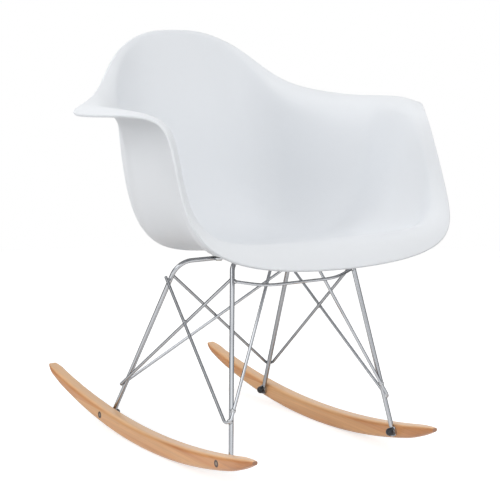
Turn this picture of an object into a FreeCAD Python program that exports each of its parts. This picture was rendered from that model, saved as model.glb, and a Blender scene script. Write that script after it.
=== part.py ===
import FreeCAD, Part
import math
import os
from FreeCAD import Placement, Rotation, Vector

# A moulded plastic armchair shell on a welded wire base with two wooden rockers.
# Millimetres. X runs across the chair, its front faces -Y, Z is up and the floor is Z = 0.
# The chair is symmetric about X = 0 and the rockers touch the floor at Y = 0.

os.makedirs("parts", exist_ok=True)
doc = FreeCAD.newDocument("RockingChair")
sheet = doc.addObject("Spreadsheet::Sheet", "Sizes")

SIZES = {
    # rockers
    "rockerSpacing": 345.0,
    "rockerWidth": 25.0,
    "rockerDepth": 30.5,
    "soleRadius": 1150.0,
    "crownRadius": 1560.0,
    "rockerRear": 376.0,
    "rockerFront": 321.0,
    "rockerEdge": 6.5,
    "noseLength": 62.0,
    "rearNoseRise": 7.0,
    "rearNoseDrop": 1.0,
    "rearNoseTaper": 26.0,
    "rearTipWidth": 15.0,
    "frontNoseRise": 8.0,
    "frontNoseDrop": 4.0,
    "frontNoseTaper": 46.0,
    "frontTipWidth": 9.0,
    # hoops of the wire base
    "hoopRod": 7.6,
    "rearBarDrop": 28.8,
    "rearBarPlace": 5.5,
    "rearTopHalf": 114.5,
    "rearBend": 30.0,
    "rearFoot": 162.0,
    "frontBarDrop": 3.0,
    "frontBarPlace": -163.0,
    "frontTopHalf": 113.0,
    "frontBend": 20.0,
    "frontFoot": -230.0,
    # struts and cross rod
    "strutRod": 5.0,
    "strutBend": 8.0,
    "rearBendLift": 79.5,
    "frontBendLift": 92.5,
    "sideJointDrop": 27.0,
    "sideJointInset": 1.7,
    "rearJointDrop": 24.2,
    "besideDrop": 33.0,
    "strutOverrun": 6.5,
    "strutEmbed": 1.5,
    "strutTopHalf": 34.5,
    "weldSink": 0.6,
    "crossRodDrop": 33.5,
    "crossRodSag": 8.2,
    "crossRodBow": 20.0,
    "crossRodBend": 110.0,
    # bolt and nut at each foot
    "lugDiameter": 17.0,
    "lugThickness": 3.5,
    "seatGap": 0.2,
    "boltDiameter": 6.0,
    "boltHead": 11.4,
    "boltHeadLength": 6.0,
    "boltSocket": 5.0,
    "headRecess": 3.0,
    "boltEnd": 1.5,
    "holePlay": 0.6,
    "threadPlay": 0.1,
    "washerDiameter": 12.5,
    "washerThickness": 1.2,
    "nutWidth": 10.0,
    "nutLength": 5.0,
    "capWall": 1.0,
    "capLength": 10.0,
    # seat shell
    "shellWall": 5.0,
    "seatLift": 341.0,
    "seatSlope": 0.12,
    "frontLift": 2.0,
    "shallowWall": 60.0,
    "hubCentre": -50.0,
    "hubRadius": 45.0,
    "floorHalf": 110.0,
    "floorFront": 125.0,
    "floorRear": 70.0,
    # seat mounts
    "mountHalf": 42.0,
    "ringDiameter": 17.0,
    "ringThickness": 2.5,
    "rearRingDrop": -1.5,
    "frontRingDrop": 2.0,
    "spacerThickness": 3.0,
    "bossDiameter": 22.0,
    "insertDiameter": 8.0,
    "insertLength": 8.0,
    "screwDiameter": 5.0,
    "screwHead": 10.0,
    "screwHeadLength": 3.2,
    "screwSocket": 3.0,
    "screwEnd": 1.0,
}
for row, (alias, number) in enumerate(SIZES.items(), start=1):
    sheet.set("A%d" % row, alias)
    sheet.set("B%d" % row, str(number))
    sheet.setAlias("B%d" % row, alias)
doc.recompute()


def size(alias):
    return float(sheet.get(alias))


def primitive(kind, name, **rules):
    # a Part primitive whose sizes follow the sheet
    item = doc.addObject("Part::" + kind, name)
    for prop, rule in rules.items():
        item.setExpression(prop.replace("_", "."), rule)
    return item


def joined(name, *items):
    fuse = doc.addObject("Part::MultiFuse", name)
    fuse.Shapes = list(items)
    return fuse


def cutFrom(name, base, tool):
    cut = doc.addObject("Part::Cut", name)
    cut.Base = base
    cut.Tool = tool
    return cut


def feature(label, shape):
    item = doc.addObject("Part::Feature", label)
    item.Shape = shape
    item.Placement = Placement()
    return item


def copies(label, master, places):
    # the same small part at several places, as one node of separate solids
    doc.recompute()
    shapes = []
    for place in places:
        copy = master.Shape.copy()
        copy.Placement = place
        shapes.append(copy)
    return feature(label, Part.makeCompound(shapes))


def mirrored(shape):
    return shape.mirror(Vector(0, 0, 0), Vector(1, 0, 0))


# Rocker side view: the sole and the crown are two arcs.
def soleLift(y):
    radius = size("soleRadius")
    return radius - math.sqrt(radius ** 2 - y ** 2)


def crownLift(y):
    radius = size("crownRadius")
    return size("rockerDepth") + radius - math.sqrt(radius ** 2 - y ** 2)


def footLift(y):
    return (soleLift(y) + crownLift(y)) / 2


INNER_FACE = size("rockerSpacing") / 2 - size("rockerWidth") / 2
OUTER_FACE = size("rockerSpacing") / 2 + size("rockerWidth") / 2
LUG_SIDE = INNER_FACE - size("seatGap") - size("lugThickness")
FEET = {"rear": size("rearFoot"), "front": size("frontFoot")}
ROCKER_TIPS = {"rear": size("rockerRear"), "front": size("rockerFront")}
FOOT_POINTS = [(y, footLift(y)) for y in FEET.values()]


def arc(first, middle, last):
    return Part.Arc(Vector(first), Vector(middle), Vector(last)).toShape()


# limits of the edge radius, as shares of the plank's depth and half width
EDGE_OF_DEPTH = 0.42
EDGE_OF_HALF = 0.8
# where the sections stand: in the noses as shares of their length, and in steps between them
NOSE_SHARES = (0.0, 0.08, 0.19, 0.35, 0.55, 0.77, 1.0, 1.3)
PLANK_STEPS = 10


def rockerSection(y):
    # the plank's section across Y: a rectangle with round corners that shrinks into the nose
    end = "rear" if y > 0 else "front"
    toTip = ROCKER_TIPS[end] - abs(y)
    sweep = max(0.0, 1 - toTip / size("noseLength"))
    taper = max(0.0, 1 - toTip / size(end + "NoseTaper"))
    low = soleLift(y) + size(end + "NoseRise") * sweep ** 2
    high = crownLift(y) - size(end + "NoseDrop") * sweep ** 3
    width = size("rockerWidth")
    half = (width - (width - size(end + "TipWidth")) * taper ** 2) / 2
    middle = size("rockerSpacing") / 2
    edge = min(size("rockerEdge"), EDGE_OF_DEPTH * (high - low), EDGE_OF_HALF * half)
    cut = edge * (1 - math.sqrt(0.5))
    sides = []
    corners = ((1, low, 1), (1, high, -1), (-1, high, -1), (-1, low, 1))
    for across, z, inward in corners:
        x = middle + across * half
        onSide = Vector(x, y, z + inward * edge)
        onFlat = Vector(x - across * edge, y, z)
        onArc = Vector(x - across * cut, y, z + inward * cut)
        ends = (onFlat, onArc, onSide) if across * inward > 0 else (onSide, onArc, onFlat)
        sides.append(ends)
    edges = []
    for index, (first, bulge, last) in enumerate(sides):
        edges.append(arc(first, bulge, last))
        edges.append(Part.makeLine(last, sides[(index + 1) % 4][0]))
    return Part.Wire(edges)


def rockerShape():
    front, rear = -ROCKER_TIPS["front"], ROCKER_TIPS["rear"]
    reach = size("noseLength")
    run = rear - front - 2 * NOSE_SHARES[-1] * reach
    places = [front + share * reach for share in NOSE_SHARES]
    places += [places[-1] + run * step / PLANK_STEPS for step in range(1, PLANK_STEPS)]
    places += [rear - share * reach for share in reversed(NOSE_SHARES)]
    plank = Part.makeLoft([rockerSection(y) for y in places], True, False)
    x = INNER_FACE
    depth = size("headRecess") + size("boltHeadLength")
    for y, z in FOOT_POINTS:
        bore = (size("boltDiameter") + size("holePlay")) / 2
        plank = plank.cut(Part.makeCylinder(bore, size("rockerWidth"), Vector(x, y, z), Vector(1, 0, 0)))
        recess = (size("boltHead") + size("holePlay")) / 2
        floor = Vector(OUTER_FACE - depth, y, z)
        plank = plank.cut(Part.makeCylinder(recess, depth, floor, Vector(1, 0, 0)))
    return plank


leftRocker = feature("left_rocker", rockerShape())
rightRocker = feature("right_rocker", mirrored(leftRocker.Shape))


# Hoops: an inverted U of thick rod in a leaning plane, with a flattened eye at each foot.
class Hoop:
    def __init__(self, end):
        self.barLift = size("seatLift") - size(end + "BarDrop")
        self.barPlace = size(end + "BarPlace")
        self.topHalf = size(end + "TopHalf")
        self.bend = size(end + "Bend")
        self.ringDrop = size(end + "RingDrop")
        self.outward = 1 if end == "rear" else 0
        self.foot = FEET[end]
        self.lift = footLift(self.foot)
        self.footHalf = INNER_FACE - size("seatGap") - size("lugThickness") / 2

    def legPoint(self, z, side):
        # the leg's axis at height z, on the side -1 or 1
        share = (z - self.lift) / (self.barLift - self.lift)
        x = self.footHalf + share * (self.topHalf - self.footHalf)
        return Vector(side * x, self.foot + share * (self.barPlace - self.foot), z)

    def legWay(self, side):
        return (self.legPoint(self.barLift, side) - self.legPoint(self.lift, side)).normalize()


def rounded(points, radius):
    # a wire of straight lines whose corners are arcs
    edges = []
    start = points[0]
    for corner, after in zip(points[1:-1], points[2:]):
        before = (start - corner).normalize()
        ahead = (after - corner).normalize()
        half = before.getAngle(ahead) / 2
        tangent = radius / math.tan(half)
        middle = corner + (before + ahead).normalize() * (radius / math.sin(half) - radius)
        first = corner + before * tangent
        last = corner + ahead * tangent
        edges.append(Part.makeLine(start, first))
        edges.append(Part.Arc(first, middle, last).toShape())
        start = last
    edges.append(Part.makeLine(start, points[-1]))
    return Part.Wire(edges)


def rod(wire, diameter):
    start = wire.Edges[0]
    way = start.tangentAt(start.FirstParameter)
    section = Part.Wire(Part.makeCircle(diameter / 2, start.valueAt(start.FirstParameter), way))
    return wire.makePipeShell([section], True, False)


def hoopShape(hoop):
    corners = [hoop.legPoint(z, side) for side, z in
               ((-1, hoop.lift), (-1, hoop.barLift), (1, hoop.barLift), (1, hoop.lift))]
    shape = rod(rounded(corners, hoop.bend), size("hoopRod"))
    across = Vector(1, 0, 0)
    lug = size("lugDiameter") / 2
    for side in (-1, 1):
        inner = Vector(side * LUG_SIDE, hoop.foot, hoop.lift)
        eye = Part.makeCylinder(lug, size("lugThickness"), inner, across * side)
        shape = shape.fuse(eye)
        # the foot is pressed flat beside the rocker and under the washer
        outer = inner + across * side * size("lugThickness")
        flat = Part.makeCylinder(3 * lug, 2 * lug, outer, across * side)
        washer = Part.makeCylinder(lug + size("seatGap"), 2 * lug, inner, across * -side)
        bore = (size("boltDiameter") + size("holePlay")) / 2
        hole = Part.makeCylinder(bore, 4 * lug, inner - across * side * 2 * lug, across * side)
        shape = shape.cut(flat).cut(washer).cut(hole)
    return shape.removeSplitter()


rearHoop = Hoop("rear")
frontHoop = Hoop("front")
rearHoopPart = feature("rear_leg_hoop", hoopShape(rearHoop))
frontHoopPart = feature("front_leg_hoop", hoopShape(frontHoop))
HOOPS = [rearHoopPart.Shape, frontHoopPart.Shape]
ROD_REACH = (size("hoopRod") + size("strutRod")) / 2


def without(shape, others):
    # a welded rod ends flush on what it meets
    for other in others:
        shape = shape.cut(other)
    return max(shape.Solids, key=lambda solid: solid.Volume)


def vRod(firstEnd, lastEnd, hoop, bendLift, side):
    # a rod bent to a V that straddles a leg: the bend's crown lies against the leg
    onLeg = hoop.legPoint(bendLift, side)
    leg = hoop.legWay(side)
    outward = Vector(side, hoop.outward, 0)
    outward = (outward - leg * leg.dot(outward)).normalize()
    crown = onLeg + outward * (ROD_REACH - size("weldSink") / 2)
    radius = size("strutBend")
    corner = onLeg
    for _ in range(12):
        first = (firstEnd - corner).normalize()
        last = (lastEnd - corner).normalize()
        inward = (first + last).normalize()
        half = first.getAngle(last) / 2
        corner = crown - inward * (radius / math.sin(half) - radius)
    return rod(rounded([firstEnd, corner, lastEnd], radius), size("strutRod"))


def strutShapes():
    # the four V struts; the two of a side cross and touch, and so do the two rear arms
    struts = {}
    endReach = size("hoopRod") / 2 - size("strutEmbed")
    sideJointLift = frontHoop.barLift - size("sideJointDrop")
    rearJointLift = rearHoop.barLift - size("rearJointDrop")
    besideLift = rearHoop.barLift - size("besideDrop")
    for side, name in ((-1, "right"), (1, "left")):
        # rear strut: one arm to the front leg of its side, one to the rear leg of the other side
        apex = rearHoop.legPoint(size("rearBendLift"), side)
        frontJoint = frontHoop.legPoint(sideJointLift, side)
        sideEnd = frontJoint + (apex - frontJoint).normalize() * endReach
        sideEnd -= Vector(side, 0, 0) * size("sideJointInset")
        farJoint = rearHoop.legPoint(rearJointLift, -side)
        way = (farJoint - apex).normalize()
        crossing = abs(apex.x) / (abs(apex.x) + abs(farJoint.x))
        lane = (size("strutRod") - size("weldSink")) / 2 / crossing
        farEnd = farJoint - way * endReach - Vector(1, 0, 0).cross(way).normalize() * lane * side
        struts["rear_%s_strut" % name] = vRod(sideEnd, farEnd, rearHoop, size("rearBendLift"), side)
        # front strut: one arm outside the rear leg, one to the front bar
        apex = frontHoop.legPoint(size("frontBendLift"), side)
        rearJoint = rearHoop.legPoint(besideLift, side)
        way = (rearJoint - apex).normalize()
        beside = way.cross(rearHoop.legWay(side)).normalize()
        if beside.x * side < 0:
            beside = beside * -1
        sideEnd = rearJoint + beside * (ROD_REACH - size("weldSink") / 4) + way * size("strutOverrun")
        barJoint = Vector(side * size("strutTopHalf"), frontHoop.barPlace, frontHoop.barLift)
        barEnd = barJoint + (apex - barJoint).normalize() * endReach
        struts["front_%s_strut" % name] = vRod(sideEnd, barEnd, frontHoop, size("frontBendLift"), side)
    return struts


done = list(HOOPS)
for label, shape in strutShapes().items():
    strut = without(shape, done)
    done.append(strut)
    feature(label, strut)


# where the cross rod starts and where it bends, as shares of the leg's distance from the middle
CROSS_ROD_START = 0.97
CROSS_ROD_FLANK = 0.58


def crossRodShape():
    # from leg to leg, bowed forward and down in the middle
    joint = frontHoop.legPoint(frontHoop.barLift - size("crossRodDrop"), 1)
    dip = Vector(0, -size("crossRodBow"), -size("crossRodSag"))
    left = [Vector(joint.x * share, joint.y, joint.z) for share in (CROSS_ROD_START, CROSS_ROD_FLANK)]
    left[1] += dip
    right = [Vector(-point.x, point.y, point.z) for point in left]
    path = rounded([right[0], right[1], left[1], left[0]], size("crossRodBend"))
    return without(rod(path, size("strutRod")), done)


crossRod = feature("front_cross_rod", crossRodShape())
done.append(crossRod.Shape)


# Seat mounts: a ring welded to the bar carries a rubber spacer under a boss of the shell.
class Mount:
    def __init__(self, hoop, side, inward):
        reach = (size("ringDiameter") + size("hoopRod")) / 2 - size("weldSink")
        self.x = side * size("mountHalf")
        self.y = hoop.barPlace + inward * reach
        self.ringUnder = hoop.barLift - hoop.ringDrop - size("ringThickness") / 2
        self.ringTop = self.ringUnder + size("ringThickness")
        self.spacerTop = self.ringTop + size("spacerThickness")
        self.bossUnder = self.spacerTop

    def at(self, z):
        return Placement(Vector(self.x, self.y, z), Rotation())


rearMounts = [Mount(rearHoop, side, -1) for side in (-1, 1)]
frontMounts = [Mount(frontHoop, side, 1) for side in (-1, 1)]
MOUNTS = rearMounts + frontMounts

ringDisc = primitive("Cylinder", "RingDisc", Radius="Sizes.ringDiameter / 2", Height="Sizes.ringThickness")
screwRule = "(Sizes.screwDiameter + Sizes.holePlay) / 2"
ringBore = primitive("Cylinder", "RingBore", Radius=screwRule, Height="Sizes.ringThickness")
ring = cutFrom("MountRing", ringDisc, ringBore)
doc.recompute()
for label, mounts in (("rear_mount_rings", rearMounts), ("front_mount_rings", frontMounts)):
    rings = []
    for mount in mounts:
        copy = ring.Shape.copy()
        copy.Placement = mount.at(mount.ringUnder)
        rings.append(without(copy, done))
    feature(label, Part.makeCompound(rings))

spacerDisc = primitive("Cylinder", "SpacerDisc", Radius="Sizes.ringDiameter / 2",
                       Height="Sizes.spacerThickness")
spacerBore = primitive("Cylinder", "SpacerBore", Radius=screwRule, Height="Sizes.spacerThickness")
spacer = cutFrom("RubberSpacer", spacerDisc, spacerBore)
copies("rubber_spacers", spacer, [mount.at(mount.ringTop) for mount in MOUNTS])

insertBody = primitive("Cylinder", "InsertBody", Radius="Sizes.insertDiameter / 2",
                       Height="Sizes.insertLength")
threadRule = "(Sizes.screwDiameter + Sizes.threadPlay) / 2"
insertBore = primitive("Cylinder", "InsertBore", Radius=threadRule, Height="Sizes.insertLength")
insert = cutFrom("ThreadedInsert", insertBody, insertBore)
copies("threaded_inserts", insert, [mount.at(mount.bossUnder) for mount in MOUNTS])

# The screw's origin is under its head and its shank points up.
screwHead = primitive("Cylinder", "ScrewHead", Radius="Sizes.screwHead / 2", Height="Sizes.screwHeadLength",
                      Placement_Base_z="-Sizes.screwHeadLength")
shankRule = "Sizes.ringThickness + Sizes.spacerThickness + Sizes.insertLength - Sizes.screwEnd"
screwShank = primitive("Cylinder", "ScrewShank", Radius="Sizes.screwDiameter / 2", Height=shankRule)
screwSocket = primitive("Prism", "ScrewSocket", Circumradius="Sizes.screwSocket / 1.732",
                        Height="Sizes.screwHeadLength / 2", Placement_Base_z="-Sizes.screwHeadLength")
screw = cutFrom("SeatScrew", joined("ScrewSolid", screwHead, screwShank), screwSocket)
copies("seat_screws", screw, [mount.at(mount.ringUnder) for mount in MOUNTS])


# Bolts: the origin is the floor of the rocker's recess and the shank points to the chair's middle.
def footPlaces(x):
    places = []
    for side in (-1, 1):
        turn = Rotation(Vector(0, 0, 1), Vector(-side, 0, 0))
        for y, z in FOOT_POINTS:
            places.append(Placement(Vector(side * x, y, z), turn))
    return places


RECESS_FLOOR = OUTER_FACE - size("headRecess") - size("boltHeadLength")
boltHead = primitive("Cylinder", "BoltHead", Radius="Sizes.boltHead / 2", Height="Sizes.boltHeadLength",
                     Placement_Base_z="-Sizes.boltHeadLength")
boltRule = ("Sizes.rockerWidth - Sizes.headRecess - Sizes.boltHeadLength + Sizes.seatGap + Sizes.lugThickness"
            " + Sizes.washerThickness + Sizes.nutLength + Sizes.boltEnd")
boltShank = primitive("Cylinder", "BoltShank", Radius="Sizes.boltDiameter / 2", Height=boltRule)
boltSocket = primitive("Prism", "BoltSocket", Circumradius="Sizes.boltSocket / 1.732",
                       Height="Sizes.boltHeadLength / 2", Placement_Base_z="-Sizes.boltHeadLength")
bolt = cutFrom("RockerBolt", joined("BoltSolid", boltHead, boltShank), boltSocket)
copies("rocker_bolts", bolt, footPlaces(RECESS_FLOOR))

boltHole = "(Sizes.boltDiameter + Sizes.holePlay) / 2"
washerDisc = primitive("Cylinder", "WasherDisc", Radius="Sizes.washerDiameter / 2",
                       Height="Sizes.washerThickness")
washerBore = primitive("Cylinder", "WasherBore", Radius=boltHole, Height="Sizes.washerThickness")
washer = cutFrom("FootWasher", washerDisc, washerBore)
copies("foot_washers", washer, footPlaces(LUG_SIDE))

nutPrism = primitive("Prism", "NutPrism", Circumradius="Sizes.nutWidth / 1.732", Height="Sizes.nutLength")
nutBore = primitive("Cylinder", "NutBore", Radius="(Sizes.boltDiameter + Sizes.threadPlay) / 2",
                    Height="Sizes.nutLength")
nut = cutFrom("LockNut", nutPrism, nutBore)
NUT_SIDE = LUG_SIDE - size("washerThickness")
copies("lock_nuts", nut, footPlaces(NUT_SIDE))


# Nut cap: a domed plastic cup over the nut, revolved from its half section.
def capShape():
    nutRound = size("nutWidth") / math.sqrt(3) + size("threadPlay")
    boltRound = size("boltDiameter") / 2 + size("threadPlay")
    outside = nutRound + size("capWall")
    length = size("capLength")
    nutDepth = size("nutLength") + size("threadPlay")
    depth = size("nutLength") + size("boltEnd") + size("threadPlay")
    dome = length - outside
    diagonal = outside * math.sqrt(0.5)
    corners = [(nutRound, 0, 0), (outside, 0, 0), (outside, 0, dome)]
    inside = [(0, 0, length), (0, 0, depth), (boltRound, 0, depth), (boltRound, 0, nutDepth),
              (nutRound, 0, nutDepth), (nutRound, 0, 0)]
    edges = [Part.makeLine(Vector(first), Vector(last)) for first, last in zip(corners, corners[1:])]
    edges.append(arc(corners[-1], (diagonal, 0, dome + diagonal), inside[0]))
    edges += [Part.makeLine(Vector(first), Vector(last)) for first, last in zip(inside, inside[1:])]
    return Part.Face(Part.Wire(edges)).revolve(Vector(0, 0, 0), Vector(0, 0, 1), 360)


cap = feature("NutCap", capShape())
copies("nut_caps", cap, footPlaces(NUT_SIDE))

# Seat shell. Each station is a radial section of the bowl, from the back round to the front.
# The rim's half width, depth, height and radius of the rolled edge at each station.
RIM = {
    "back": (0, 217, 690, 40),
    "crown": (62, 214, 688.7, 40),
    "shoulder": (132, 190, 655, 40),
    "armRear": (182, 142, 593.2, 42),
    "armMiddle": (250, 60, 578.5, 50),
    "armSide": (328.5, -30, 570.2, 56),
    "armTip": (322.5, -86, 568.2, 52),
    "armFront": (258, -165, 572.5, 30),
    "edgeUpper": (241, -204, 546, 14),
    "edgeLower": (249, -241, 440, 14),
    "corner": (232.4, -288, 370.5, 32),
    "quarter": (140, -316, 343.6, 60),
    "front": (0, -322, 337.5, 62),
}
# The wall at each station: its direction before and after the roll, in degrees above the
# level, and how far its straight upper part reaches down, as a share of its height.
WALL = {
    "back": (76, 66, 0.60),
    "crown": (77, 66, 0.60),
    "shoulder": (81, 52, 0.72),
    "armRear": (88, 20, 0.88),
    "armMiddle": (88, -18, 0.86),
    "armSide": (85, -41, 0.70),
    "armTip": (84, -43, 0.60),
    "armFront": (84, -18, 0.60),
    "edgeUpper": (84, 0, 0.60),
    "edgeLower": (82, -20, 0.60),
    "corner": (56, -55, 0.60),
    "quarter": (24, -66, 0.60),
    "front": (12, -66, 0.60),
}
# reach of the seat's level part and of a shallow wall, as shares of the wall's run
SEAT_PULL = 0.78
SHALLOW_PULL = 0.33
# where the control points stand on the hub, the wall and the roll
HUB_SHARES = (1.0, 1.4)
WALL_SHARES = (0.0, 0.2, 0.4, 0.6, 0.8)
ROLL_SHARES = (1.0, 0.667, 0.333, 0.0)
# how far the rim stands beyond the wall, as a share of its thickness
RIM_LEAD = 0.7
# knots from the rim's middle to the seams of the inner and the outer face
RIM_INSIDE = 1.5
RIM_OUTSIDE = 0.5


def floorLift(y):
    # the seat floor falls towards the back and lifts a little at the front
    front = max(0.0, (size("hubCentre") - y) / size("floorFront"))
    return size("seatLift") - size("seatSlope") * (y - size("hubCentre")) + size("frontLift") * front ** 2


def sectionPoints(x, y, z, roll, climb, dip, straight):
    # the inner face along one station, from the middle of the seat to the rim
    centre = size("hubCentre")
    out = math.hypot(x, y - centre)
    ways = (x / out, (y - centre) / out)
    climb, dip = math.radians(climb), math.radians(dip)
    rolled = []
    for share in ROLL_SHARES:
        angle = dip + (climb - dip) * share
        inward = roll * (math.sin(angle) - math.sin(dip))
        below = roll * (math.cos(dip) - math.cos(angle))
        rolled.append((out - inward, z - below))
    neckOut, neckLift = rolled[0]
    reach = size("floorFront") if ways[1] < 0 else size("floorRear")
    floorOut = 1 / math.hypot(ways[0] / size("floorHalf"), ways[1] / reach)
    floor = floorLift(centre + ways[1] * floorOut)
    run = neckOut - floorOut
    height = neckLift - floor
    slope = -size("seatSlope") * ways[1]
    deep = height > size("shallowWall")
    pull = straight * height / math.sin(climb) if deep else SHALLOW_PULL * run
    bezier = (
        (floorOut, floor),
        (floorOut + SEAT_PULL * run, floor + SEAT_PULL * run * slope),
        (neckOut - pull * math.cos(climb), neckLift - pull * math.sin(climb)),
        (neckOut, neckLift),
    )
    profile = []
    for share in HUB_SHARES:
        hub = size("hubRadius") * share
        profile.append((hub, size("seatLift") + slope * hub))
    for share in WALL_SHARES:
        weights = ((1 - share) ** 3, 3 * (1 - share) ** 2 * share, 3 * (1 - share) * share ** 2, share ** 3)
        profile.append(tuple(sum(w * p[axis] for w, p in zip(weights, bezier)) for axis in (0, 1)))
    profile += rolled
    return [Vector(ways[0] * r, centre + ways[1] * r, lift) for r, lift in profile]


def shellSkin():
    # control points of one closed skin: inner face, rounded rim, outer face
    half = [RIM[name] + WALL[name] for name in RIM]
    ring = half + [(-station[0],) + station[1:] for station in half[-2:0:-1]]
    inner = [sectionPoints(*station) for station in ring]
    wall = size("shellWall")
    skin = []
    for index, column in enumerate(inner):
        before, after = inner[index - 1], inner[(index + 1) % len(inner)]
        outer = []
        for level, point in enumerate(column):
            lower, upper = column[max(level - 1, 0)], column[min(level + 1, len(column) - 1)]
            normal = (upper - lower).cross(after[level] - before[level]).normalize()
            if level < 2:
                normal = Vector(0, -size("seatSlope"), -1).normalize()
            outer.append(point + normal * wall)
        lead = (column[-1] - column[-2]).normalize() * (wall * RIM_LEAD)
        skin.append(column + [column[-1] + lead, outer[-1] + lead] + outer[::-1])
    return skin


def skinSolid(poles):
    around, along = len(poles), len(poles[0])
    surface = Part.BSplineSurface()
    uKnots = [float(knot) for knot in range(around + 1)]
    vKnots = [float(knot) for knot in range(along - 2)]
    uMults = [1] * (around + 1)
    vMults = [4] + [1] * (along - 4) + [4]
    surface.buildFromPolesMultsKnots(poles, uMults, vMults, uKnots, vKnots, True, False, 3, 3)
    # three faces: inside, rim and outside
    rim = along / 2 - 1
    bounds = (0, rim - RIM_INSIDE, rim + RIM_OUTSIDE, vKnots[-1])
    skins = [surface.toShape(0, around, low, high) for low, high in zip(bounds, bounds[1:])]
    rings = [edge for skin in skins for edge in skin.Edges if edge.isClosed()]
    rings.sort(key=lambda edge: edge.Length)
    hubs = [Part.Face(Part.Wire([edge])) for edge in rings[:2]]
    shell = Part.makeShell(skins + hubs)
    shell.sewShape()
    solid = Part.makeSolid(shell)
    if solid.Volume < 0:
        solid.reverse()
    return solid


def shellShape():
    shell = skinSolid(shellSkin())
    wall = size("shellWall")
    for mount in MOUNTS:
        # a boss reaches from its spacer up to the middle of the wall
        probe = Part.makeLine(Vector(mount.x, mount.y, 0), Vector(mount.x, mount.y, 2 * mount.bossUnder))
        under = probe.common(shell).BoundBox.ZMin
        height = under + wall / 2 - mount.bossUnder
        boss = Part.makeCylinder(size("bossDiameter") / 2, height, Vector(mount.x, mount.y, mount.bossUnder))
        shell = shell.fuse(boss)
    for mount in MOUNTS:
        socket = size("insertDiameter") / 2
        bottom = Vector(mount.x, mount.y, mount.bossUnder)
        shell = shell.cut(Part.makeCylinder(socket, size("insertLength"), bottom))
    return shell.removeSplitter()


feature("seat_shell", shellShape())

doc.recompute()
NODES = [
    "seat_shell", "threaded_inserts", "rubber_spacers", "seat_screws",
    "front_leg_hoop", "rear_leg_hoop", "front_mount_rings", "rear_mount_rings", "front_cross_rod",
    "front_right_strut", "front_left_strut", "rear_right_strut", "rear_left_strut",
    "right_rocker", "left_rocker", "rocker_bolts", "foot_washers", "lock_nuts", "nut_caps",
]
for item in doc.Objects:
    if "Invalid" in item.State or "Error" in item.State:
        raise RuntimeError("%s did not compute" % item.Label)
for label in NODES:
    shape = doc.getObjectsByLabel(label)[0].Shape
    if shape.isNull() or not shape.isValid():
        raise RuntimeError("%s has no sound shape" % label)
    print("%-20s solids %d volume %.0f" % (label, len(shape.Solids), shape.Volume))
    shape.exportStep("parts/%s.step" % label)
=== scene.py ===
import bpy
import bmesh
import math
from mathutils import Matrix, Vector, noise
from mathutils.bvhtree import BVHTree


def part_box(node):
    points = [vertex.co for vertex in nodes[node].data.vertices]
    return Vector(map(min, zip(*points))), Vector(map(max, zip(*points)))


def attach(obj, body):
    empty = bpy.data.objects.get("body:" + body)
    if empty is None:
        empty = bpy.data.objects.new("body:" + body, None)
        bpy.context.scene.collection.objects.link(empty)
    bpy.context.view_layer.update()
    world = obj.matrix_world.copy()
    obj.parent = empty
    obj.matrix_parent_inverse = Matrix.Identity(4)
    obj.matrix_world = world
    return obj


# Looks of the rocking chair: finishes, weld beads, camera, floor and light.
# Metres, +Z up, the chair's front faces -Y.

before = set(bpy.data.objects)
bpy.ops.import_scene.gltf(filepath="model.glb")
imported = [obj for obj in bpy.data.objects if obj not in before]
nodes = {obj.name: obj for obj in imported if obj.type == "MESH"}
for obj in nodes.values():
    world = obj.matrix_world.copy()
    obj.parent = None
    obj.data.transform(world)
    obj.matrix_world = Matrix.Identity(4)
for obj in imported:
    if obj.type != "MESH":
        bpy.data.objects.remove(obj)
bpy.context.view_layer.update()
scene = bpy.context.scene


# small helpers for node trees
def addNode(tree, kind, inputs=None, **settings):
    node = tree.nodes.new(kind)
    for name, value in settings.items():
        setattr(node, name, value)
    for key, value in (inputs or {}).items():
        if isinstance(value, bpy.types.NodeSocket):
            tree.links.new(value, node.inputs[key])
        else:
            node.inputs[key].default_value = value
    return node


def connect(tree, sockets, sources):
    for name, source in sources.items():
        tree.links.new(source, sockets[name])


def maths(tree, operation, first, second=0.0):
    return addNode(tree, "ShaderNodeMath", {0: first, 1: second}, operation=operation).outputs[0]


def times(tree, first, second):
    return maths(tree, "MULTIPLY", first, second)


def spread(tree, value, low, high, toLow=0.0, toHigh=1.0):
    span = {"Value": value, "From Min": low, "From Max": high, "To Min": toLow, "To Max": toHigh}
    return addNode(tree, "ShaderNodeMapRange", span).outputs[0]


def mixColour(tree, factor, first, second, blend="MIX"):
    inputs = {0: factor, 6: first, 7: second}
    return addNode(tree, "ShaderNodeMix", inputs, data_type="RGBA", blend_type=blend).outputs[2]


def tinted(tree, colour, tint):
    return mixColour(tree, 1.0, colour, tint, "MULTIPLY")


def noiseNode(tree, place, scale, detail, roughness):
    inputs = {"Vector": place, "Scale": scale, "Detail": detail, "Roughness": roughness}
    return addNode(tree, "ShaderNodeTexNoise", inputs).outputs[0]


def bump(tree, height, depth, strength=0.5):
    inputs = {"Height": height, "Distance": depth, "Strength": strength}
    return addNode(tree, "ShaderNodeBump", inputs).outputs[0]


def objectPlace(tree):
    return addNode(tree, "ShaderNodeTexCoord").outputs["Object"]


def axes(tree, vector):
    return addNode(tree, "ShaderNodeSeparateXYZ", {0: vector}).outputs


def towards(tree, vector, way):
    node = addNode(tree, "ShaderNodeVectorMath", {0: vector, 1: way}, operation="DOT_PRODUCT")
    return node.outputs["Value"]


def mapped(tree, place, scale=(1.0, 1.0, 1.0), turn=(0.0, 0.0, 0.0), shift=(0.0, 0.0, 0.0)):
    inputs = {"Vector": place, "Location": shift, "Rotation": turn, "Scale": scale}
    return addNode(tree, "ShaderNodeMapping", inputs).outputs[0]


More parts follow.
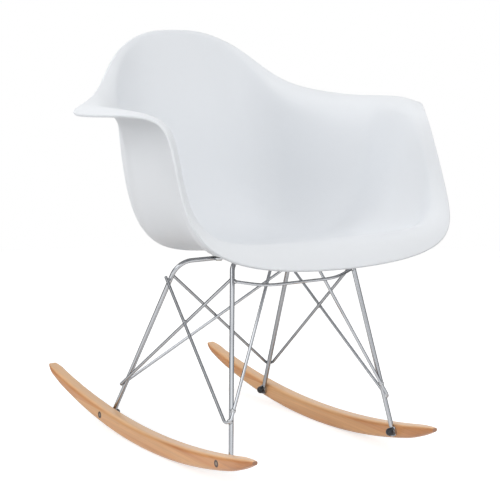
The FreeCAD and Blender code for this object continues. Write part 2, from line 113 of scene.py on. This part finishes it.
def newGroup(name, inputs, outputs):
    group = bpy.data.node_groups.new(name, "ShaderNodeTree")
    for side, sockets in (("INPUT", inputs), ("OUTPUT", outputs)):
        for label, kind, *preset in sockets:
            socket = group.interface.new_socket(label, in_out=side, socket_type="NodeSocket" + kind)
            if preset:
                socket.default_value = preset[0]
    return group, group.nodes.new("NodeGroupInput").outputs, group.nodes.new("NodeGroupOutput").inputs


def useGroup(tree, group, inputs):
    return addNode(tree, "ShaderNodeGroup", inputs, node_tree=group).outputs


def newMaterial(name, presets):
    material = bpy.data.materials.new(name)
    material.use_nodes = True
    tree = material.node_tree
    surface = tree.nodes["Principled BSDF"].inputs
    for label, value in presets.items():
        surface[label].default_value = value
    return material, tree, surface


def rgb(red, green, blue):
    return (red, green, blue, 1.0)


def grey(level):
    return rgb(level, level, level)


def scaled(colour, share):
    return rgb(*[part * share for part in colour[:3]])


def dress(nodeName, material):
    data = nodes[nodeName].data
    data.materials.clear()
    data.materials.append(material)
    for polygon in data.polygons:
        polygon.material_index = 0


# effects that several finishes share
def mouldedGrain():
    # fine spark grain of a mould, and a slow change of tone from the melt
    group, given, result = newGroup(
        "Moulded grain",
        [("Grain Scale", "Float", 900.0), ("Flow Scale", "Float", 5.0)],
        [("Height", "Float"), ("Tone", "Float"), ("Matt", "Float")],
    )
    place = objectPlace(group)
    flow = noiseNode(group, place, given["Flow Scale"], detail=3.0, roughness=0.55)
    patchScale = times(group, given["Flow Scale"], 7.0)
    patch = noiseNode(group, place, patchScale, detail=4.0, roughness=0.6)
    connect(group, result, {
        "Height": noiseNode(group, place, given["Grain Scale"], detail=3.0, roughness=0.6),
        "Tone": spread(group, flow, 0.3, 0.7),
        "Matt": spread(group, patch, 0.35, 0.7),
    })
    return group


def handling():
    # smudges and fine pitting of bare or plated metal
    group, given, result = newGroup(
        "Handling marks",
        [("Smudge Scale", "Float", 30.0), ("Pit Scale", "Float", 1400.0)],
        [("Smudge", "Float"), ("Pits", "Float")],
    )
    place = objectPlace(group)
    cloud = noiseNode(group, place, given["Smudge Scale"], detail=5.0, roughness=0.62)
    connect(group, result, {
        "Smudge": spread(group, cloud, 0.42, 0.72),
        "Pits": noiseNode(group, place, given["Pit Scale"], detail=2.0, roughness=0.5),
    })
    return group


grain = mouldedGrain()
marks = handling()


# moulded plastic: the white shell, the black caps and the rubber spacers
plastics = {
    "White shell": {
        "piece": "seat_shell", "ior": 1.49, "roughness": (0.36, 0.46),
        "tone": rgb(0.785, 0.805, 0.832), "otherTone": rgb(0.800, 0.822, 0.850),
        "grainScale": 950.0, "grainDepth": 0.00005, "flowScale": 5.0,
    },
    "Black cap": {
        "piece": "nut_caps", "ior": 1.5, "roughness": (0.25, 0.40),
        "tone": rgb(0.011, 0.012, 0.014), "otherTone": rgb(0.0187, 0.0204, 0.0238),
        "grainScale": 1500.0, "grainDepth": 0.00002, "flowScale": 60.0,
    },
    "Black rubber": {
        "piece": "rubber_spacers", "ior": 1.45, "roughness": (0.65, 0.85),
        "tone": rgb(0.018, 0.018, 0.018), "otherTone": rgb(0.0306, 0.0306, 0.0306),
        "grainScale": 1100.0, "grainDepth": 0.00006, "flowScale": 60.0,
    },
}


def plasticMaterial(name, look):
    material, tree, surface = newMaterial(name, {"IOR": look["ior"]})
    skin = useGroup(tree, grain, {"Grain Scale": look["grainScale"], "Flow Scale": look["flowScale"]})
    connect(tree, surface, {
        "Base Color": mixColour(tree, skin["Tone"], look["tone"], look["otherTone"]),
        "Roughness": spread(tree, skin["Matt"], 0.0, 1.0, *look["roughness"]),
        "Normal": bump(tree, skin["Height"], look["grainDepth"]),
    })
    return material


for name, look in plastics.items():
    dress(look["piece"], plasticMaterial(name, look))


# radii around the rocker bolts, of the washer, the painted shade of the recess in the wood and the painted
# highlight of the head's glint
bolts = {
    "washer": 0.00625,
    "recess": 0.0060, "recessEdge": 0.0003,
    "glint": 0.0034, "glintEdge": 0.0012,
}


def boltPlaces():
    # place along the rocker and height of the front and the rear bolt, from the box of the washers
    low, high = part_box("foot_washers")
    radius = bolts["washer"]
    return (low[1] + radius, high[2] - radius), (high[1] - radius, low[2] + radius)


def awayFromBolts(tree, place):
    parts = axes(tree, place)
    gaps = []
    for along, height in boltPlaces():
        offset = addNode(tree, "ShaderNodeCombineXYZ", {
            0: maths(tree, "SUBTRACT", parts["Y"], along),
            1: maths(tree, "SUBTRACT", parts["Z"], height),
        }).outputs[0]
        length = addNode(tree, "ShaderNodeVectorMath", {0: offset}, operation="LENGTH")
        gaps.append(length.outputs["Value"])
    return maths(tree, "MINIMUM", *gaps)


# plated and bare metal: edge is what is left of its mirror at a grazing angle
wires = [name for name in nodes if name.endswith(("_strut", "_hoop", "_rings", "_rod"))]
metals = {
    "Chromed rod": {
        "pieces": wires, "tone": rgb(0.46, 0.47, 0.49), "edge": 0.20,
        "roughness": (0.06, 0.16), "smudgeScale": 26.0, "pitDepth": 0.00001,
    },
    "Weld under plating": {   # for the beads that are made below
        "pieces": (), "tone": rgb(0.46, 0.465, 0.475), "edge": 0.30,
        "roughness": (0.16, 0.32), "smudgeScale": 90.0, "pitDepth": 0.00005,
    },
    "Zinc plate": {
        "pieces": ("foot_washers", "lock_nuts", "seat_screws"), "tone": rgb(0.50, 0.48, 0.45), "edge": 0.60,
        "roughness": (0.22, 0.42), "smudgeScale": 120.0, "pitDepth": 0.00003,
    },
    "Oiled steel": {
        "pieces": ("rocker_bolts",), "tone": rgb(0.42, 0.36, 0.31), "edge": 0.50,
        "roughness": (0.28, 0.48), "smudgeScale": 120.0, "pitDepth": 0.00003,
        # the socket span and rim colour paint shade: the head darkens out to its rim, as in the shadow of the
        # recess
        "socket": (0.0018, 0.0030), "rim": rgb(0.075, 0.045, 0.030),
    },
    "Brass": {
        "pieces": ("threaded_inserts",), "tone": rgb(0.75, 0.56, 0.27), "edge": 0.80,
        "roughness": (0.24, 0.40), "smudgeScale": 140.0, "pitDepth": 0.00002,
    },
}


def metalMaterial(name, look):
    material, tree, surface = newMaterial(name, {"Metallic": 1.0, "Specular Tint": grey(look["edge"])})
    worn = useGroup(tree, marks, {"Smudge Scale": look["smudgeScale"]})
    smudged = scaled(look["tone"], 0.9)
    colour = mixColour(tree, worn["Smudge"], look["tone"], smudged)
    if "socket" in look:
        # painted shade: the head keeps its tone at the socket and is painted darker towards its rim, as in
        # the shadow of the recess
        rim = spread(tree, awayFromBolts(tree, objectPlace(tree)), *look["socket"])
        colour = mixColour(tree, rim, colour, look["rim"])
    connect(tree, surface, {
        "Base Color": colour,
        "Roughness": spread(tree, worn["Smudge"], 0.0, 1.0, *look["roughness"]),
        "Normal": bump(tree, worn["Pits"], look["pitDepth"], strength=0.3),
    })
    return material


metalMaterials = {name: metalMaterial(name, look) for name, look in metals.items()}
for name, look in metals.items():
    for piece in look["pieces"]:
        dress(piece, metalMaterials[name])


# beech rockers: the board's grain runs straight while the rocker curves through it
beech = {
    "ringTones": (
        (0.10, rgb(0.595, 0.270, 0.098)),
        (0.45, rgb(0.680, 0.342, 0.140)),
        (0.85, rgb(0.740, 0.398, 0.175)),
    ),
    "upperBoard": rgb(0.910, 0.780, 0.680),
    # painted highlight laid on the upper faces, where light falls
    "topHighlight": rgb(0.900, 0.570, 0.290),
    "tips": rgb(0.800, 0.690, 0.620),
    "fleck": rgb(0.380, 0.170, 0.070),
    "endGrain": rgb(0.360, 0.185, 0.110),
    # painted shade of the drilled recesses, and the painted highlight of the bolt head's glint
    "recess": rgb(0.055, 0.024, 0.012),
    "glint": rgb(0.340, 0.270, 0.210),
    "slope": math.radians(-1.3),
    "leftShift": (0.13, 0.4, 0.05),   # takes the left rocker from another place of the plank
    # each pattern's scale across, along and up the board, its detail and its roughness
    "wave": ((3.0, 3.5, 9.0), 2.0, 0.5),
    "bands": ((28.0, 1.7, 62.0), 3.0, 0.55),
    "fibres": ((260.0, 5.0, 420.0), 3.0, 0.6),
    "flecks": ((700.0, 55.0, 1500.0), 2.0, 0.5),
    # a span says where an effect starts and where it is full, a share how strong it is then
    "waveShare": 0.5, "bandShare": 0.75, "ringSpan": (0.46, 0.80),
    "fibreSpan": (0.35, 0.65), "fibreTone": (0.93, 1.05), "fibreDepth": 0.00006,
    "fleckSpan": (0.62, 0.74), "fleckShare": 0.30,
    "jointHeight": 0.031, "jointBlur": 0.0008, "jointWander": 0.004,
    "redReach": 0.030, "redLeft": 0.55,
    "frontTip": (0.086, 0.021), "rearTip": (0.066, 0.006),   # from the rocker's ends
    "cutSpan": (0.62, 0.92), "cutShare": 0.85,
    "topSpan": (0.55, 0.90), "topShare": 0.65,
    "glintShare": 0.75,
    "coatSpan": (0.3, 0.7), "roughness": (0.30, 0.42), "coat": (0.45, 0.25), "coatRoughness": 0.22,
}


def ringColour(tree, rings):
    ramp = addNode(tree, "ShaderNodeValToRGB", {0: rings})
    elements = ramp.color_ramp.elements
    elements.new(0.5)
    for element, (where, colour) in zip(elements, beech["ringTones"]):
        element.position = where
        element.color = colour
    return ramp.outputs[0]


def woodMaterial(name, shift):
    material, tree, surface = newMaterial(name, {"IOR": 1.5, "Coat Roughness": beech["coatRoughness"]})
    place = objectPlace(tree)
    straight = mapped(tree, place, turn=(beech["slope"], 0.0, 0.0))

    def pattern(kind):
        scale, detail, roughness = beech[kind]
        return noiseNode(tree, mapped(tree, straight, scale, shift=shift), 1.0, detail, roughness)

    # slow bands of the growth rings, bent a little by a large wave
    wave = pattern("wave")
    bands = times(tree, pattern("bands"), beech["bandShare"])
    rings = maths(tree, "ADD", times(tree, wave, beech["waveShare"]), bands)
    colour = ringColour(tree, spread(tree, rings, *beech["ringSpan"]))
    # fine straight fibres
    fibres = pattern("fibres")
    fibreTone = spread(tree, fibres, *beech["fibreSpan"], *beech["fibreTone"])
    fibreGrey = addNode(tree, "ShaderNodeCombineColor", dict.fromkeys((0, 1, 2), fibreTone))
    colour = tinted(tree, colour, fibreGrey.outputs[0])

    # two boards are glued edge to edge: the upper one is redder, most of all beside the joint
    wander = times(tree, maths(tree, "SUBTRACT", wave, 0.5), beech["jointWander"])
    rise = maths(tree, "ADD", axes(tree, straight)["Z"], wander)
    joint, blur = beech["jointHeight"], beech["jointBlur"]
    upper = spread(tree, rise, joint - blur, joint + blur)
    fade = spread(tree, rise, joint, joint + beech["redReach"], 1.0, beech["redLeft"])
    colour = mixColour(tree, times(tree, upper, fade), colour, tinted(tree, colour, beech["upperBoard"]))

    # short dark flecks of the rays
    flecks = spread(tree, pattern("flecks"), *beech["fleckSpan"])
    colour = mixColour(tree, times(tree, flecks, beech["fleckShare"]), colour, beech["fleck"])

    # the tips darken, and the end grain drinks the stain
    facing = axes(tree, addNode(tree, "ShaderNodeTexCoord").outputs["Normal"])
    along = axes(tree, place)["Y"]
    low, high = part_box("right_rocker")
    front = spread(tree, along, *[low[1] + inset for inset in beech["frontTip"]])
    rear = spread(tree, along, *[high[1] - inset for inset in beech["rearTip"]])
    tips = maths(tree, "MAXIMUM", front, rear)
    colour = mixColour(tree, tips, colour, tinted(tree, colour, beech["tips"]))
    cut = spread(tree, maths(tree, "ABSOLUTE", facing["Y"]), *beech["cutSpan"], 0.0, beech["cutShare"])
    colour = mixColour(tree, cut, colour, beech["endGrain"])
    # painted highlight: the upper face is painted paler, where light falls on it, and its edge shows as a
    # line along the board
    top = spread(tree, facing["Z"], *beech["topSpan"], 0.0, beech["topShare"])
    colour = mixColour(tree, top, colour, beech["topHighlight"])

    # painted shade: the drilled recesses are painted dark, with a painted highlight for the glint of the
    # bolt's head in the middle
    away = awayFromBolts(tree, place)
    recess, edge = bolts["recess"], bolts["recessEdge"]
    inside = spread(tree, away, recess - edge, recess + edge, 1.0, 0.0)
    colour = mixColour(tree, inside, colour, beech["recess"])
    glintStart = bolts["glint"] - bolts["glintEdge"]
    glint = spread(tree, away, glintStart, bolts["glint"], beech["glintShare"], 0.0)
    colour = mixColour(tree, glint, colour, beech["glint"])

    # thin clear lacquer, thinner over the fibres and none in the recesses
    coat = spread(tree, fibres, *beech["coatSpan"], *beech["coat"])
    connect(tree, surface, {
        "Base Color": colour,
        "Coat Weight": times(tree, coat, maths(tree, "SUBTRACT", 1.0, inside)),
        "Roughness": spread(tree, fibres, *beech["coatSpan"], *beech["roughness"]),
        "Normal": bump(tree, fibres, beech["fibreDepth"], strength=0.35),
    })
    return material


dress("right_rocker", woodMaterial("Beech right", (0.0, 0.0, 0.0)))
dress("left_rocker", woodMaterial("Beech left", beech["leftShift"]))
print("finishes done")


# weld beads, where one rod's mesh touches another's
weld = {
    "touch": 0.0006,   # how close two rods count as touching
    "apart": 0.011,    # points nearer than this belong to one bead
    "proud": 0.0009,   # how far a bead stands out of the rods
    "least": 0.0024,   # smallest and largest radius of a bead
    "most": 0.0046,
    "lump": 0.16,      # lumps and ripples as a share of the radius
    "lumpScale": 1.6,
    "ripple": 0.035,
    "ripplesUp": 9.0, "ripplesAcross": 5.0,
    "seedStep": 1.7,   # makes each bead a little different
}


def surfaceTree(name):
    data = nodes[name].data
    points = [vertex.co.copy() for vertex in data.vertices]
    return BVHTree.FromPolygons(points, [tuple(polygon.vertices) for polygon in data.polygons])


def weldPlaces(first, second):
    # groups of the first rod's points that lie on the second rod
    groups = []
    for vertex in nodes[first].data.vertices:
        near = trees[second].find_nearest(vertex.co, weld["touch"])
        if near[0] is None:
            continue
        home = next((group for group in groups if (group[0] - vertex.co).length < weld["apart"]), None)
        if home is None:
            groups.append([vertex.co.copy()])
        else:
            home.append(vertex.co.copy())
    places = []
    for group in groups:
        middle = sum(group, Vector()) / len(group)
        reach = max((point - middle).length for point in group)
        places.append((middle, min(max(reach + weld["proud"], weld["least"]), weld["most"])))
    return places


def beadMesh(name, middle, radius, seed):
    # a lumpy drop with the ripples of a short weld
    mesh = bpy.data.meshes.new(name)
    form = bmesh.new()
    bmesh.ops.create_icosphere(form, subdivisions=3, radius=1.0)
    for vertex in form.verts:
        way = vertex.co.normalized()
        lump = weld["lump"] * noise.noise(way * weld["lumpScale"] + Vector((seed, 0.0, 0.0)))
        turn = weld["ripplesUp"] * way.z + weld["ripplesAcross"] * way.x + seed
        ripple = weld["ripple"] * math.sin(turn)
        vertex.co = middle + way * radius * (1.0 + lump + ripple)
    for face in form.faces:
        face.smooth = True
    form.to_mesh(mesh)
    form.free()
    return mesh


trees = {name: surfaceTree(name) for name in wires}
beadPlaces = []
for index, first in enumerate(wires):
    for second in wires[index + 1:]:
        for middle, radius in weldPlaces(first, second) + weldPlaces(second, first):
            if all((middle - other).length > weld["apart"] for other, _ in beadPlaces):
                beadPlaces.append((middle, radius))
for index, (middle, radius) in enumerate(beadPlaces):
    name = "weld_bead_%02d" % (index + 1)
    bead = bpy.data.objects.new(name, beadMesh(name, middle, radius, weld["seedStep"] * index))
    bead.data.materials.append(metalMaterials["Weld under plating"])
    scene.collection.objects.link(bead)
    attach(bead, "root")
print("weld beads", len(beadPlaces))


# camera, floor and light
studio = {
    "cameraTurn": math.radians(-32.66),
    "cameraLift": math.radians(8.71),
    "cameraPlace": Vector((-1.3693, -2.1742, 0.7167)),
    "lens": 110.09,
    "floorReach": 2.2,
    "floorTone": 0.66,
    "floorGlow": 0.64,     # what the floor adds for the eye alone, so that it reads as a white sweep
    "skyLight": 0.27,
    "ahead": (0.54, 0.84, 0.0),
    # what metal mirrors: a white sky, with dark side screens that draw lines along the rods
    "skyInMetal": 1.0,
    "skyTint": rgb(0.97, 0.985, 1.0),
    "darkInMetal": 0.06,
    "screenStart": (-0.15, 0.15),
    "screenEnd": (0.74, 0.90),
    "screenTop": (0.28, 0.50),
    # and a floor whose glow fades beyond the chair
    "glowSpan": (-0.2, 0.5),
    "glowLeft": 0.1,
}
# place, width, watts, and whether metal mirrors the lamp
lamps = {
    "Key": ((-2.7, -0.7, 2.0), 1.8, 17, True),
    "Top": ((0.4, -0.9, 3.0), 2.2, 33, False),
    "Front": ((-1.4, -2.4, 1.4), 2.0, 10, True),
    "Fill": ((1.8, -2.4, 1.6), 2.0, 22, False),
    "Rear": ((-2.4, 1.6, 1.8), 2.0, 38, False),
    "Side": ((-2.9, -0.2, 0.9), 1.8, 6, False),
}
lampTarget = Vector((0.0, 0.0, 0.42))


def addCamera():
    turn, lift = studio["cameraTurn"], studio["cameraLift"]
    right = Vector((math.cos(turn), math.sin(turn), 0.0))
    back = Vector((math.sin(turn) * math.cos(lift), -math.cos(turn) * math.cos(lift), math.sin(lift)))
    up = back.cross(right)
    data = bpy.data.cameras.new("Camera")
    data.lens = studio["lens"]
    data.sensor_width = 36.0
    camera = bpy.data.objects.new("Camera", data)
    place = Matrix.Translation(studio["cameraPlace"])
    camera.matrix_world = place @ Matrix((right, up, back)).transposed().to_4x4()
    scene.collection.objects.link(camera)
    scene.camera = camera


def addFloor():
    mesh = bpy.data.meshes.new("Floor")
    form = bmesh.new()
    bmesh.ops.create_circle(form, cap_ends=True, segments=96, radius=studio["floorReach"])
    form.to_mesh(mesh)
    form.free()
    floor = bpy.data.objects.new("Floor", mesh)
    scene.collection.objects.link(floor)
    material, tree, surface = newMaterial("Studio floor", {
        "Base Color": grey(studio["floorTone"]), "Roughness": 0.9, "Emission Color": grey(1.0)})
    path = addNode(tree, "ShaderNodeLightPath").outputs
    beyond = towards(tree, objectPlace(tree), studio["ahead"])
    glow = spread(tree, beyond, *studio["glowSpan"], 1.0, studio["glowLeft"])
    inMetal = times(tree, path["Is Glossy Ray"], glow)
    seen = maths(tree, "MAXIMUM", path["Is Camera Ray"], inMetal)
    connect(tree, surface, {"Emission Strength": times(tree, seen, studio["floorGlow"])})
    mesh.materials.append(material)


def addWorld():
    # even light, white behind the chair, and dark screens at the sides for the metal to mirror
    world = bpy.data.worlds.new("Studio")
    scene.world = world
    world.use_nodes = True
    tree = world.node_tree
    sky = tree.nodes["Background"]
    sky.inputs["Color"].default_value = grey(1.0)
    sky.inputs["Strength"].default_value = studio["skyLight"]
    white = addNode(tree, "ShaderNodeBackground", {"Color": grey(1.0), "Strength": 1.0})
    way = addNode(tree, "ShaderNodeTexCoord").outputs["Generated"]
    ahead = towards(tree, way, studio["ahead"])
    sides = times(tree, spread(tree, ahead, *studio["screenStart"]),
                  spread(tree, ahead, *studio["screenEnd"], 1.0, 0.0))
    screens = times(tree, sides, spread(tree, axes(tree, way)["Z"], *studio["screenTop"], 1.0, 0.0))
    level = spread(tree, screens, 0.0, 1.0, studio["skyInMetal"], studio["darkInMetal"])
    mirror = addNode(tree, "ShaderNodeBackground", {"Color": studio["skyTint"], "Strength": level})
    path = addNode(tree, "ShaderNodeLightPath").outputs
    shown = sky.outputs[0]
    for ray, light in (("Is Glossy Ray", mirror), ("Is Camera Ray", white)):
        shown = addNode(tree, "ShaderNodeMixShader", {0: path[ray], 1: shown, 2: light.outputs[0]}).outputs[0]
    connect(tree, tree.nodes["World Output"].inputs, {"Surface": shown})


def addLamp(name, place, size, power, mirrored):
    data = bpy.data.lights.new(name, "AREA")
    data.size = size
    data.energy = power
    lamp = bpy.data.objects.new(name, data)
    turn = (Vector(place) - lampTarget).to_track_quat("Z", "Y")
    lamp.matrix_world = Matrix.Translation(place) @ turn.to_matrix().to_4x4()
    lamp.visible_glossy = mirrored
    scene.collection.objects.link(lamp)


addCamera()
addFloor()
addWorld()
for name, settings in lamps.items():
    addLamp(name, *settings)
scene.view_settings.view_transform = "Standard"
print("stage done")
